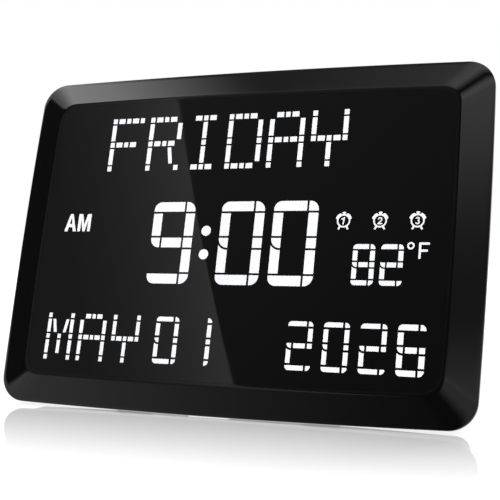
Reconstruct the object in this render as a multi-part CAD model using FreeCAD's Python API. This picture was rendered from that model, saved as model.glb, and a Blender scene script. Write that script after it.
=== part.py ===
import FreeCAD, Part
import math
import os

# Wide day clock on a kickstand. Sizes in mm, angles in degrees. The clock is drawn upright about the middle
# of its face (x right, y back, z up) and leaned back when it is written out, standing on z = 0.

V = FreeCAD.Vector

# stance
LEAN = 15.2
LEG_SPLAY = 11.0
FLOOR_GAP = 0.4

# front frame
FRAME_HALF_WIDTH = 131.34
FRAME_HALF_HEIGHT = 93.0
FRAME_BOW_SIDE = 1.34
FRAME_BOW_TOP = 1.7
FRAME_CORNER = 14.2
BEZEL_SIDE = 15.6
BEZEL_TOP = 14.6
BEZEL_RISE = 4.8
RIDGE_FLAT = 1.8
RIDGE_ROUND = 7.0
EDGE_ROUND = 0.6
RIDGE_CORNER = 10.7
RIDGE_BOW_SIDE = 1.2
RIDGE_BOW_TOP = 1.6
LIP_DEPTH = 2.8
LIP_WALL = 2.4
WALL = 2.2
CHANNEL_WIDTH = 3.8
CHANNEL_WALL = 1.1
SKIRT_WALL = 2.0
SKIRT_DEPTH = 6.6

# front panel and display stack, front to back
PANEL_GAP = 0.15
LEDGE_THICK = 2.0
PANEL_SET_BACK = 0.05
PANEL_EDGE_ROUND = 0.1
PANEL_THICK = 2.0
TAPE_THICK = 0.25
LEDGE_WIDTH = 4.5
TAPE_EDGE_GAP = 1.0
FILM_THICK = 0.2
PAD_THICK = 0.1
DIFFUSER_THICK = 0.5
LIGHT_BOX_DEPTH = 6.0
LIGHT_BOX_GAP = 1.7
BOARD_THICK = 1.6
BOARD_SIDE_GAP = 8.6
BOARD_BOSS_GAP = 1.2
LED_LONG = 1.0
LED_WIDE = 0.5
LED_HIGH = 0.5

RIDGE_HALF_WIDTH = FRAME_HALF_WIDTH - BEZEL_SIDE
RIDGE_HALF_HEIGHT = FRAME_HALF_HEIGHT - BEZEL_TOP
PANEL_HALF_WIDTH = RIDGE_HALF_WIDTH - RIDGE_FLAT
PANEL_HALF_HEIGHT = RIDGE_HALF_HEIGHT - RIDGE_FLAT
LIP_BACK = BEZEL_RISE + LIP_DEPTH
SKIRT_INSET = LIP_WALL + CHANNEL_WIDTH
CHANNEL_FLOOR = BEZEL_RISE + CHANNEL_WALL
PANEL_FRONT = PANEL_SET_BACK
PANEL_BACK = PANEL_FRONT + PANEL_THICK
LEDGE_FRONT = PANEL_BACK + TAPE_THICK
FRAME_FLOOR = LEDGE_FRONT + LEDGE_THICK
SKIRT_BACK = FRAME_FLOOR + SKIRT_DEPTH
FILM_FRONT = PANEL_BACK
PAD_FRONT = FILM_FRONT + FILM_THICK
DIFFUSER_FRONT = PAD_FRONT + PAD_THICK
LIGHT_BOX_FRONT = DIFFUSER_FRONT + DIFFUSER_THICK
DISPLAY_BOARD_FRONT = LIGHT_BOX_FRONT + LIGHT_BOX_DEPTH
DISPLAY_BOARD_BACK = DISPLAY_BOARD_FRONT + BOARD_THICK

# readout: drawn for a panel of this size, and scaled to the panel in use
READOUT_HALF_WIDTH = 113.94
READOUT_HALF_HEIGHT = 76.6

# readout: block letters of the weekday and the month
DAY_TEXT = "FRIDAY"
DAY_LEFT = -80.3
DAY_EDGE = 8.9
DAY_TOP = READOUT_HALF_HEIGHT - DAY_EDGE
DAY_PITCH = 23.65
DAY_COLUMNS = (2.65, 3.9, 2.6, 3.9, 2.65)
DAY_ROWS = (2.9, 9.25, 2.9, 9.25, 2.9)
DAY_COLUMN_GAP = 1.0
DAY_ROW_GAP = 0.85
MONTH_TEXT = "MAY"
MONTH_LEFT = -104.2
MONTH_RISE = 33.4
MONTH_TOP = MONTH_RISE - READOUT_HALF_HEIGHT
MONTH_PITCH = 20.15
MONTH_COLUMNS = (2.2, 3.25, 2.1, 3.25, 2.2)
MONTH_ROWS = (2.45, 7.15, 2.4, 7.15, 2.45)
MONTH_COLUMN_GAP = 0.8
MONTH_ROW_GAP = 0.9
DIAGONAL_SHARE = 0.58

# readout: digits, as left, top, width, height, stroke, gap
TIME_TOP = 18.95
TIME_WIDTH = 24.3
TIME_HEIGHT = 44.6
TIME_STROKE = 5.3
TIME_GAP = 1.05
HOUR_LEFT = -47.5
MINUTE_LEFT = -7.8
MINUTE_PITCH = 29.3
COLON_X = -15.65
COLON_Z = (3.1, -9.6)
COLON_R = 2.75
TEMP_LEFT = 65.55
TEMP_TOP = -3.7
TEMP_PITCH = 14.3
TEMP_WIDTH = 11.35
TEMP_HEIGHT = 20.8
TEMP_STROKE = 2.5
TEMP_GAP = 0.8
DATE_LEFT = -38.2
DATE_DROP = 0.1
DATE_TOP = MONTH_TOP - DATE_DROP
DATE_PITCH = 18.6
DATE_WIDTH = 13.25
DATE_HEIGHT = 24.6
DATE_STROKE = 2.45
DATE_GAP = 1.1
YEAR_TEXT = "2026"
YEAR_LEFT = 35.2
YEAR_PITCH = 18.75
YEAR_WIDTH = 13.25
YEAR_HEIGHT = 24.5
LAST_DIGIT_GROWTH = 0.45

# readout: small signs
AM_LEFT = -102.45
AM_BOTTOM = 2.75
AM_HEIGHT = 9.95
AM_STEP = 8.3
ICON_X = (59.35, 78.15, 97.0)
ICON_Z = 8.25
ICON_HEIGHT = 8.6
DEGREE_X = 94.55
DEGREE_Z = -4.4
DEGREE_R = 1.87
DEGREE_HOLE_R = 0.95
UNIT_LEFT = 98.55
UNIT_TOP = -2.7
UNIT_WIDTH = 5.3
UNIT_HEIGHT = 8.2
UNIT_STROKE = 1.2
UNIT_BAR_DROP = 3.5
UNIT_BAR_SHORT = 0.8

# rear cover
COVER_INSET = 3.2
COVER_EDGE_GAP = 0.3
COVER_SIDE_DEPTH = 6.8
COVER_SIDE_TAPER = 0.4
COVER_DEPTH = 20.8
COVER_BEVEL = 4.2
COVER_FRONT = CHANNEL_FLOOR + COVER_EDGE_GAP
COVER_SIDE_BACK = COVER_FRONT + COVER_SIDE_DEPTH
COVER_BACK = COVER_FRONT + COVER_DEPTH
COVER_INNER = COVER_BACK - WALL
VENT_WIDTH = 2.2
VENT_HEIGHT = 34.0
VENT_PITCH = 6.0
VENT_COUNT = 7
VENT_X = 56.0
VENT_Z = -38.0
KEYHOLE_INSET = 31.34
KEYHOLE_X = FRAME_HALF_WIDTH - KEYHOLE_INSET
KEYHOLE_Z = 46.0
KEYHOLE_R = 4.25
KEYHOLE_SLOT_R = 2.2
KEYHOLE_RISE = 8.0

# case screws, into bosses of the frame
CASE_SCREW_SIDE = 19.34
CASE_SCREW_EDGE = 12.4
CASE_SCREW_INNER_SHARE = 0.41
CASE_SCREW_R = 1.5
CASE_SCREW_HEAD_R = 2.8
CASE_SCREW_HEAD = 1.8
CASE_BOSS_R = 3.2
CASE_BOSS_SHORT = 10.0
CASE_HEAD_SINK = 7.0
CASE_POST_R = 4.4
CASE_BORE_R = 3.0
SCREW_CLEARANCE = 0.15
SCREW_DEPTH = 9.0
CASE_SCREW_FAR = FRAME_HALF_WIDTH - CASE_SCREW_SIDE
CASE_SCREW_NEAR = CASE_SCREW_FAR * CASE_SCREW_INNER_SHARE
CASE_SCREW_X = (-CASE_SCREW_FAR, -CASE_SCREW_NEAR, CASE_SCREW_NEAR, CASE_SCREW_FAR)
CASE_SCREW_Z = FRAME_HALF_HEIGHT - CASE_SCREW_EDGE
CASE_BOSS_BACK = COVER_BACK - CASE_BOSS_SHORT
CASE_HEAD_SEAT = COVER_BACK - CASE_HEAD_SINK

# board screws, alike on both boards
BOARD_SCREW_R = 1.2
BOARD_SCREW_LENGTH = 4.0
BOARD_SCREW_HEAD_R = 2.1
BOARD_SCREW_HEAD = 1.3
BOARD_BOSS_R = 2.5
DISPLAY_SCREW_SIDE = 2.44
DISPLAY_SCREW_EDGE = 3.2
DISPLAY_SCREW_FAR = PANEL_HALF_WIDTH - DISPLAY_SCREW_SIDE
DISPLAY_SCREW_X = (-DISPLAY_SCREW_FAR, 0.0, DISPLAY_SCREW_FAR)
DISPLAY_SCREW_Z = PANEL_HALF_HEIGHT - DISPLAY_SCREW_EDGE
DISPLAY_BOARD_HALF_WIDTH = FRAME_HALF_WIDTH - SKIRT_INSET - SKIRT_WALL - BOARD_SIDE_GAP
DISPLAY_BOARD_HALF_HEIGHT = CASE_SCREW_Z - CASE_BOSS_R - BOARD_BOSS_GAP

# main board and what it carries
MAIN_BOARD_ROOM = 7.8
MAIN_BOARD_FRONT = COVER_INNER - MAIN_BOARD_ROOM - BOARD_THICK
MAIN_BOARD_BACK = MAIN_BOARD_FRONT + BOARD_THICK
MAIN_SIDE_GAP = 12.0
MAIN_HALF_WIDTH = KEYHOLE_X - MAIN_SIDE_GAP
MAIN_HALF_HEIGHT = 18.0
CONTROL_Z = 48.0
MAIN_POST_EDGE = 4.0
MAIN_BOTTOM = CONTROL_Z - MAIN_HALF_HEIGHT
MAIN_TOP = CONTROL_Z + MAIN_HALF_HEIGHT
MAIN_POST_X = MAIN_HALF_WIDTH - MAIN_POST_EDGE
MAIN_POST_Z = (MAIN_BOTTOM + MAIN_POST_EDGE, MAIN_TOP - MAIN_POST_EDGE)

# rear buttons over tact switches
BUTTON_NAMES = ("set", "alarm", "up", "down", "brightness", "unit")
BUTTON_PITCH_SHARE = 0.159
BUTTON_PITCH = MAIN_HALF_WIDTH * BUTTON_PITCH_SHARE
BUTTON_R = 4.5
BUTTON_FIT = 0.08
BUTTON_PROUD = 1.0
BUTTON_FLANGE_RIM = 0.9
BUTTON_FLANGE_R = BUTTON_R + BUTTON_FLANGE_RIM
BUTTON_FLANGE = 1.4
BUTTON_STEM_R = 1.6
BUTTON_TRAVEL = 0.6
BUTTON_END_GAP = 0.05
SWITCH_SIZE = 6.0
SWITCH_BODY = 3.5
SWITCH_KEY_R = 1.75
SWITCH_KEY = 0.8

# power jack
JACK_INSET = 12.0
JACK_X = MAIN_HALF_WIDTH - JACK_INSET
JACK_SIZE = 9.0
JACK_COLLAR_R = 4.0
JACK_BORE_R = 3.15
JACK_PIN_R = 1.0
JACK_FLOOR = 1.2
JACK_HOLE_GAP = 0.15
JACK_SINK = 0.2

# backup coin cell
CELL_INSET = 22.0
CELL_X = CELL_INSET - MAIN_HALF_WIDTH
CELL_R = 10.0
CELL_THICK = 3.2
HOLDER_RIM = 2.2
HOLDER_R = CELL_R + HOLDER_RIM
HOLDER_GAP = 0.15
HOLDER_FLOOR = 0.8
HOLDER_HEIGHT = 4.0
CONTACT_WIDTH = 3.0
CONTACT_LENGTH = 12.0
DOOR_HUB_RIM = 0.3
DOOR_HUB_R = HOLDER_R + DOOR_HUB_RIM
DOOR_PLATE_RIM = 1.6
DOOR_R = DOOR_HUB_R + DOOR_PLATE_RIM
DOOR_FIT = 0.08
DOOR_PLATE = 1.1
DOOR_LUG_REACH = 2.1
DOOR_LUG_R = DOOR_HUB_R + DOOR_LUG_REACH
DOOR_LUG_ANGLE = 28.0
DOOR_TWIST = 60.0
DOOR_LUG_THICK = 1.1
DOOR_LUG_GAP = 0.1
COIN_SLOT_LENGTH = 14.0
COIN_SLOT_WIDTH = 1.8
COIN_SLOT_DEPTH = 0.9

# buzzer and small parts
BUZZER_TO_JACK = 19.0
BUZZER_X = JACK_X - BUZZER_TO_JACK
BUZZER_DROP = 3.0
BUZZER_Z = CONTROL_Z - BUZZER_DROP
BUZZER_R = 6.0
BUZZER_HIGH = 6.0
BUZZER_HOLE_R = 1.2
SOUND_SLOT_WIDTH = 1.4
SOUND_SLOT_HEIGHT = 8.0
SOUND_SLOT_PITCH = 3.0
SOUND_SLOTS = 3
CHIP_X = -16.0
CHIP_SIZE = 10.0
CHIP_HIGH = 1.6
DRIVER_X = (-84.0, -28.0, 28.0, 84.0)
DRIVER_Z = -24.0
DRIVER_LONG = 12.0
DRIVER_WIDE = 7.5
CRYSTAL_X = 2.0
CRYSTAL_R = 1.5
CRYSTAL_LENGTH = 6.0
CAPACITOR_X = (44.0, 51.0)
CAPACITOR_RISE = 12.0
CAPACITOR_Z = CONTROL_Z + CAPACITOR_RISE
CAPACITOR_R = 2.5
CAPACITOR_HIGH = 5.4
SENSOR_X = -42.0
SENSOR_DROP = 14.0
SENSOR_Z = CONTROL_Z - SENSOR_DROP
SENSOR_SIZE = 3.0
SOCKET_INSET = 28.0
SOCKET_X = MAIN_HALF_WIDTH - SOCKET_INSET
SOCKET_LENGTH = 16.0
SOCKET_DEPTH = 4.0
SOCKET_HIGH = 3.2
CABLE_WIDTH = 12.0
CABLE_THICK = 0.4
CABLE_LENGTH = 14.0
CABLE_LAP = 3.0
CABLE_TOP = MAIN_BOTTOM + CABLE_LAP
CABLE_BOTTOM = CABLE_TOP - CABLE_LENGTH
CABLE_Y = (DISPLAY_BOARD_BACK + MAIN_BOARD_FRONT - CABLE_THICK) / 2

# kickstand in its recess
STAND_PIVOT_Z = 12.0
STAND_HALF_WIDTH = 26.4
STAND_FOOT_HALF_WIDTH = 19.0
STAND_PLATE = 2.4
STAND_RIM = 1.2
STAND_RIM_WIDTH = 3.0
STAND_BARREL_R = 3.0
STAND_PIN_R = 1.5
STAND_PIN_FIT = 0.06
RECESS_SIDE_GAP = 0.6
RECESS_HALF_WIDTH = STAND_HALF_WIDTH + RECESS_SIDE_GAP
RECESS_DEPTH = 6.4
RECESS_FLOOR = COVER_BACK - RECESS_DEPTH
RECESS_ABOVE = 10.0
RECESS_TOP = STAND_PIVOT_Z + RECESS_ABOVE
STAND_BARREL_GAP = 0.3
STAND_PIVOT_Y = RECESS_FLOOR + STAND_BARREL_GAP + STAND_BARREL_R
HEEL_HEIGHT = 5.5
HEEL_THICK = 2.65
STOP_GAP = 0.05
PAD_LENGTH = 5.0
PAD_WALL = 0.9

# rubber feet under the body
FOOT_X = 52.0
FOOT_LENGTH = 18.0
FOOT_FRONT = 12.4
FOOT_DEPTH = 5.0
FOOT_SEAT_INSET = 5.0
FOOT_SEAT_Z = FOOT_SEAT_INSET - FRAME_HALF_HEIGHT
FOOT_BLOCK = 1.5
FAR = 400.0

COS_LEAN = math.cos(math.radians(LEAN))
SIN_LEAN = math.sin(math.radians(LEAN))
FACE_CENTRE_HEIGHT = FRAME_HALF_HEIGHT * COS_LEAN + LIP_BACK * SIN_LEAN + FLOOR_GAP
PIVOT_HEIGHT = STAND_PIVOT_Z * COS_LEAN - STAND_PIVOT_Y * SIN_LEAN + FACE_CENTRE_HEIGHT
LEG_LENGTH = PIVOT_HEIGHT / math.cos(math.radians(LEG_SPLAY))
STAND_OPEN = LEAN + LEG_SPLAY

# lit cells of the block letters on their 5 by 5 lattice; \ and / are slanted bars
LETTERS = {
    "F": ("#####", "#....", "####.", "#....", "#...."),
    "R": ("####.", "#...#", "####.", "#..\\.", "#...#"),
    "I": (".###.", "..#..", "..#..", "..#..", ".###."),
    "D": ("####.", "#...#", "#...#", "#...#", "####."),
    "A": (".###.", "#...#", "#####", "#...#", "#...#"),
    "Y": ("#...#", "#...#", "#####", "..#..", "..#.."),
    "M": ("#...#", "#\\./#", "#.#.#", "#.#.#", "#...#"),
}

# lit segments of the digits: top, top corner, left and right upper, left node, middle, right node, left and
# right lower, bottom, bottom corner
SEGMENTS = ("t", "tc", "lu", "ru", "ln", "m", "rn", "ll", "rl", "b", "bc")
DIGIT_OFF = {
    "0": ("m",),
    "1": ("t", "lu", "ln", "m", "ll", "b"),
    "2": ("lu", "rl"),
    "6": ("ru",),
    "8": (),
    "9": ("ll",),
}


def box(x0, x1, y0, y1, z0, z1):
    return Part.makeBox(x1 - x0, y1 - y0, z1 - z0, V(x0, y0, z0))


def rod(x, z, y0, y1, radius):
    return Part.makeCylinder(radius, y1 - y0, V(x, y0, z), V(0, 1, 0))


def join(shapes):
    first = shapes[0]
    if len(shapes) == 1:
        return first
    return first.fuse(shapes[1:]).removeSplitter()


def bowed_outline(half_w, half_h, bow_side, bow_top, corner, inset, y):
    """Closed wire with four slightly bowed sides and rounded corners, moved inward by inset."""
    r_top = (half_w ** 2 + bow_top ** 2) / (2 * bow_top)
    r_side = (half_h ** 2 + bow_side ** 2) / (2 * bow_side)
    top_z = half_h - r_top
    side_x = half_w - r_side
    cx = half_w - corner
    cz = half_h - corner
    for _ in range(20):
        cz = top_z + math.sqrt((r_top - corner) ** 2 - cx ** 2)
        cx = side_x + math.sqrt((r_side - corner) ** 2 - cz ** 2)
    top_angle = math.atan2(cz - top_z, cx)
    side_angle = math.atan2(cz, cx - side_x)
    mid_angle = (top_angle + side_angle) / 2
    r_top -= inset
    r_side -= inset
    r = corner - inset
    on_top = (r_top * math.cos(top_angle), top_z + r_top * math.sin(top_angle))
    on_corner = (cx + r * math.cos(mid_angle), cz + r * math.sin(mid_angle))
    on_side = (side_x + r_side * math.cos(side_angle), r_side * math.sin(side_angle))
    apex_z = top_z + r_top
    apex_x = side_x + r_side
    arcs = []
    for sx, sz in ((1, 1), (1, -1), (-1, -1), (-1, 1)):
        a = V(sx * on_top[0], y, sz * on_top[1])
        b = V(sx * on_corner[0], y, sz * on_corner[1])
        c = V(sx * on_side[0], y, sz * on_side[1])
        if sx == sz:
            arcs.append(Part.Arc(a, b, c).toShape())
            mid = V(sx * apex_x, y, 0)
            arcs.append(Part.Arc(c, mid, V(sx * on_side[0], y, -sz * on_side[1])).toShape())
        else:
            arcs.append(Part.Arc(c, b, a).toShape())
            mid = V(0, y, sz * apex_z)
            arcs.append(Part.Arc(a, mid, V(-sx * on_top[0], y, sz * on_top[1])).toShape())
    return Part.Wire(arcs)


def frame_outline(inset, y):
    return bowed_outline(
        FRAME_HALF_WIDTH, FRAME_HALF_HEIGHT, FRAME_BOW_SIDE, FRAME_BOW_TOP, FRAME_CORNER, inset, y
    )


def ridge_outline(inset, y):
    return bowed_outline(
        RIDGE_HALF_WIDTH, RIDGE_HALF_HEIGHT, RIDGE_BOW_SIDE, RIDGE_BOW_TOP, RIDGE_CORNER, inset, y
    )


def panel_outline(inset, y):
    return ridge_outline(RIDGE_FLAT + inset, y)


def prism(wire, depth):
    return Part.Face(wire).extrude(V(0, depth, 0))


def loft(*wires):
    return Part.makeLoft(list(wires), True, True)


# ---- readout outlines, all flat wires at y = 0

def outline(points, radii):
    """Closed wire through the points, each corner rounded by its radius."""
    edges = []
    count = len(points)
    ends = []
    for i in range(count):
        p = V(points[i][0], 0, points[i][1])
        before = V(points[i - 1][0], 0, points[i - 1][1])
        after = V(points[(i + 1) % count][0], 0, points[(i + 1) % count][1])
        if radii[i] == 0:
            ends.append((p, p))
            continue
        into = (before - p).normalize()
        out = (after - p).normalize()
        half = into.getAngle(out) / 2
        reach = radii[i] / math.tan(half)
        centre = p + (into + out).normalize() * (radii[i] / math.sin(half))
        start = p + into * reach
        end = p + out * reach
        middle = centre + (p - centre).normalize() * radii[i]
        edges.append((i, Part.Arc(start, middle, end).toShape()))
        ends.append((start, end))
    arcs = dict(edges)
    loop = []
    for i in range(count):
        if i in arcs:
            loop.append(arcs[i])
        start = ends[i][1]
        end = ends[(i + 1) % count][0]
        if start.distanceToPoint(end) > 1e-6:
            loop.append(Part.makeLine(start, end))
    return Part.Wire(loop)


def plate_outline(x0, x1, z0, z1, bottom_left=0, bottom_right=0, top_right=0, top_left=0):
    points = ((x0, z0), (x1, z0), (x1, z1), (x0, z1))
    return outline(points, (bottom_left, bottom_right, top_right, top_left))


def letter_wires(char, left, top, columns, rows, column_gap, row_gap):
    wires = []
    z = top
    for row, line in enumerate(LETTERS[char]):
        x = left
        for column, mark in enumerate(line):
            x1 = x + columns[column]
            z0 = z - rows[row]
            share = columns[column] * DIAGONAL_SHARE
            if mark == "#":
                wires.append(plate_outline(x, x1, z0, z))
            elif mark == "\\":
                wires.append(outline(((x, z), (x + share, z), (x1, z0), (x1 - share, z0)), (0, 0, 0, 0)))
            elif mark == "/":
                wires.append(outline(((x1, z), (x1 - share, z), (x, z0), (x + share, z0)), (0, 0, 0, 0)))
            x = x1 + column_gap
        z = z - rows[row] - row_gap
    return wires


def text_wires(text, left, top, pitch, columns, rows, column_gap, row_gap):
    wires = []
    for i, char in enumerate(text):
        wires += letter_wires(char, left + i * pitch, top, columns, rows, column_gap, row_gap)
    return wires


def lower_left_wire(x0, x1, z0, node_bottom, node_r, gap):
    """The left lower bar, whose top follows the rounded node above it."""
    centre = V(x0 + node_r, 0, node_bottom + node_r)
    reach = node_r + gap
    start = V(x0, 0, centre.z - math.sqrt(reach ** 2 - node_r ** 2))
    end = V(centre.x, 0, node_bottom - gap)
    spread = (start - centre).normalize() + (end - centre).normalize()
    middle = centre + spread.normalize() * reach
    corner = V(x1, 0, node_bottom - gap)
    edges = [
        Part.Arc(start, middle, end).toShape(),
        Part.makeLine(end, corner),
        Part.makeLine(corner, V(x1, 0, z0)),
        Part.makeLine(V(x1, 0, z0), V(x0, 0, z0)),
        Part.makeLine(V(x0, 0, z0), start),
    ]
    return Part.Wire(edges)


def digit_wires(char, left, top, width, height, stroke, gap):
    x1 = left + stroke
    bar_end = left + width - stroke - gap
    x2 = left + width - stroke
    x3 = left + width
    bottom = top - height
    upper = top - stroke
    lower = bottom + stroke
    middle = (top + bottom) / 2
    node_top = middle + stroke / 2
    node_bottom = middle - stroke / 2
    bar_r = stroke * 0.8
    corner_r = stroke * 0.92
    shapes = {
        "t": plate_outline(left, bar_end, upper, top, top_left=bar_r),
        "tc": plate_outline(x2, x3, upper, top, top_right=corner_r),
        "lu": plate_outline(left, x1, node_top + gap, upper - gap),
        "ru": plate_outline(x2, x3, node_top + gap, upper - gap),
        "ln": plate_outline(left, x1, node_bottom, node_top, bottom_left=corner_r),
        "m": plate_outline(x1 + gap, bar_end, node_bottom, node_top),
        "rn": plate_outline(x2, x3, node_bottom, node_top),
        "ll": lower_left_wire(left, x1, lower + gap, node_bottom, corner_r, gap),
        "rl": plate_outline(x2, x3, lower + gap, node_bottom - gap),
        "b": plate_outline(left, bar_end, bottom, lower, bottom_left=bar_r),
        "bc": plate_outline(x2, x3, bottom, lower, bottom_right=corner_r),
    }
    return [shapes[name] for name in SEGMENTS if name not in DIGIT_OFF[char]]


def circle_wire(x, z, radius):
    return Part.Wire(Part.makeCircle(radius, V(x, 0, z), V(0, 1, 0)))


def time_wires():
    wires = digit_wires("9", HOUR_LEFT, TIME_TOP, TIME_WIDTH, TIME_HEIGHT, TIME_STROKE, TIME_GAP)
    for i in range(2):
        left = MINUTE_LEFT + i * MINUTE_PITCH
        wires += digit_wires("0", left, TIME_TOP, TIME_WIDTH, TIME_HEIGHT, TIME_STROKE, TIME_GAP)
    return wires


def temperature_wires():
    wires = []
    for i, char in enumerate("82"):
        left = TEMP_LEFT + i * TEMP_PITCH
        wires += digit_wires(char, left, TEMP_TOP, TEMP_WIDTH, TEMP_HEIGHT, TEMP_STROKE, TEMP_GAP)
    return wires


def date_wires():
    wires = []
    for i, char in enumerate("01"):
        left = DATE_LEFT + i * DATE_PITCH
        wires += digit_wires(char, left, DATE_TOP, DATE_WIDTH, DATE_HEIGHT, DATE_STROKE, DATE_GAP)
    return wires


def year_wires():
    wires = []
    for i, char in enumerate(YEAR_TEXT):
        left = YEAR_LEFT + i * YEAR_PITCH
        grow = LAST_DIGIT_GROWTH if i == len(YEAR_TEXT) - 1 else 0
        width = YEAR_WIDTH + grow
        height = YEAR_HEIGHT + grow
        stroke = DATE_STROKE + grow
        wires += digit_wires(char, left - grow / 2, DATE_TOP + grow / 2, width, height, stroke, DATE_GAP)
    return wires


def polygon_wire(points, x, z, scale):
    corners = [V(x + px * scale, 0, z + pz * scale) for px, pz in points]
    return Part.makePolygon(corners + corners[:1])


def am_wires():
    """A and M, drawn in tenths of their height."""
    scale = AM_HEIGHT / 10
    letter_a = ((0, 0), (2.8, 10), (4.7, 10), (7.6, 0), (5.5, 0), (4.95, 2.4), (2.75, 2.4), (2.15, 0))
    hole_a = ((3.1, 4.3), (3.85, 7.8), (4.55, 4.3))
    letter_m = (
        (0, 0), (0, 10), (2.6, 10), (4.05, 4.0), (5.55, 10), (8.1, 10), (8.1, 0), (6.25, 0), (6.25, 6.2),
        (4.8, 0), (3.3, 0), (1.9, 6.2), (1.9, 0),
    )
    return [
        polygon_wire(letter_a, AM_LEFT, AM_BOTTOM, scale),
        polygon_wire(hole_a, AM_LEFT, AM_BOTTOM, scale),
        polygon_wire(letter_m, AM_LEFT + AM_STEP, AM_BOTTOM, scale),
    ]


def unit_wires():
    """Degree ring and the letter F."""
    x0 = UNIT_LEFT
    x1 = x0 + UNIT_STROKE
    x2 = x0 + UNIT_WIDTH
    z3 = UNIT_TOP
    z2 = z3 - UNIT_STROKE
    z0 = z3 - UNIT_HEIGHT
    x3 = x2 - UNIT_BAR_SHORT
    z2b = z3 - UNIT_BAR_DROP
    z1b = z2b - UNIT_STROKE
    points = (
        (x0, z0), (x1, z0), (x1, z1b), (x3, z1b), (x3, z2b), (x1, z2b), (x1, z2), (x2, z2), (x2, z3), (x0, z3)
    )
    return [
        circle_wire(DEGREE_X, DEGREE_Z, DEGREE_R),
        circle_wire(DEGREE_X, DEGREE_Z, DEGREE_HOLE_R),
        polygon_wire(points, 0, 0, 1),
    ]


def stroke(points, width):
    """Flat solids along a line of points, with round ends and joints."""
    parts = []
    for x, z in points:
        parts.append(rod(x, z, 0, 1, width / 2))
    for (xa, za), (xb, zb) in zip(points, points[1:]):
        along = V(xb - xa, 0, zb - za).normalize() * (width / 2)
        side = V(-along.z, 0, along.x)
        a = V(xa, 0, za)
        b = V(xb, 0, zb)
        parts.append(prism(Part.makePolygon([a + side, b + side, b - side, a - side, a + side]), 1))
    return parts


def silhouette(solids):
    """Outer line of flat solids laid over each other."""
    front = [face for face in join(solids).Faces if face.BoundBox.YMax < 1e-6]
    return front[0].OuterWire


def arc_points(x, z, radius, start, end, steps):
    points = []
    for i in range(steps + 1):
        angle = math.radians(start + (end - start) * i / steps)
        points.append((x + radius * math.cos(angle), z + radius * math.sin(angle)))
    return points


def numeral(number):
    """1, 2 or 3 about the origin, in tenths of the sign's height."""
    if number == 1:
        return stroke([(-1.0, 1.0), (0.35, 1.8), (-0.15, -1.9)], 0.9)
    if number == 2:
        curve = arc_points(0, 0.8, 1.0, 165, -40, 6)
        return stroke(curve + [(-1.15, -1.75), (1.2, -1.75)], 0.8)
    upper = arc_points(-0.05, 0.95, 0.9, 150, -70, 6)
    lower = arc_points(-0.05, -0.85, 1.0, 70, -150, 6)
    return stroke(upper + lower, 0.8)


def icon_wires(number, x, z):
    """A small alarm clock in tenths of its height: bells, knob, ring, feet, and a number on its dial."""
    body = [rod(0, 0, 0, 1, 4.1)]
    for side in (-1, 1):
        body += stroke(arc_points(0, 0, 4.3, 90 - side * 32, 90 - side * 66, 4), 1.7)
        body += stroke([(side * 2.0, -3.4), (side * 2.7, -4.7)], 1.2)
    body += stroke([(-1.8, 3.2), (1.8, 3.2)], 1.6)
    body += stroke([(-0.7, 4.9), (0.7, 4.9)], 0.9)
    body += stroke([(0, 4.8), (0, 3.5)], 1.5)
    wires = [silhouette(body), circle_wire(0, 0, 3.1), silhouette(numeral(number))]
    for wire in wires:
        wire.scale(ICON_HEIGHT / 10)
        wire.translate(V(x, 0, z))
    return wires


def letters_day():
    return text_wires(
        DAY_TEXT, DAY_LEFT, DAY_TOP, DAY_PITCH, DAY_COLUMNS, DAY_ROWS, DAY_COLUMN_GAP, DAY_ROW_GAP
    )


def letters_month():
    return text_wires(
        MONTH_TEXT, MONTH_LEFT, MONTH_TOP, MONTH_PITCH, MONTH_COLUMNS, MONTH_ROWS, MONTH_COLUMN_GAP,
        MONTH_ROW_GAP
    )


def colon_wires():
    return [circle_wire(COLON_X, z, COLON_R) for z in COLON_Z]


def flat(wires, y, depth):
    """Solids from nested wires: a wire inside another is a hole in it."""
    face = Part.makeFace(wires, "Part::FaceMakerBullseye")
    face.translate(V(0, y, 0))
    return face.extrude(V(0, depth, 0))


def sign_box(wires):
    """Rectangle around a group of wires, for the light box cell behind a small sign."""
    room = Part.Compound(wires).BoundBox
    return plate_outline(room.XMin, room.XMax, room.ZMin, room.ZMax)


def pads(wires):
    return flat(wires, PAD_FRONT, PAD_THICK)


# ---- front of the clock

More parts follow.
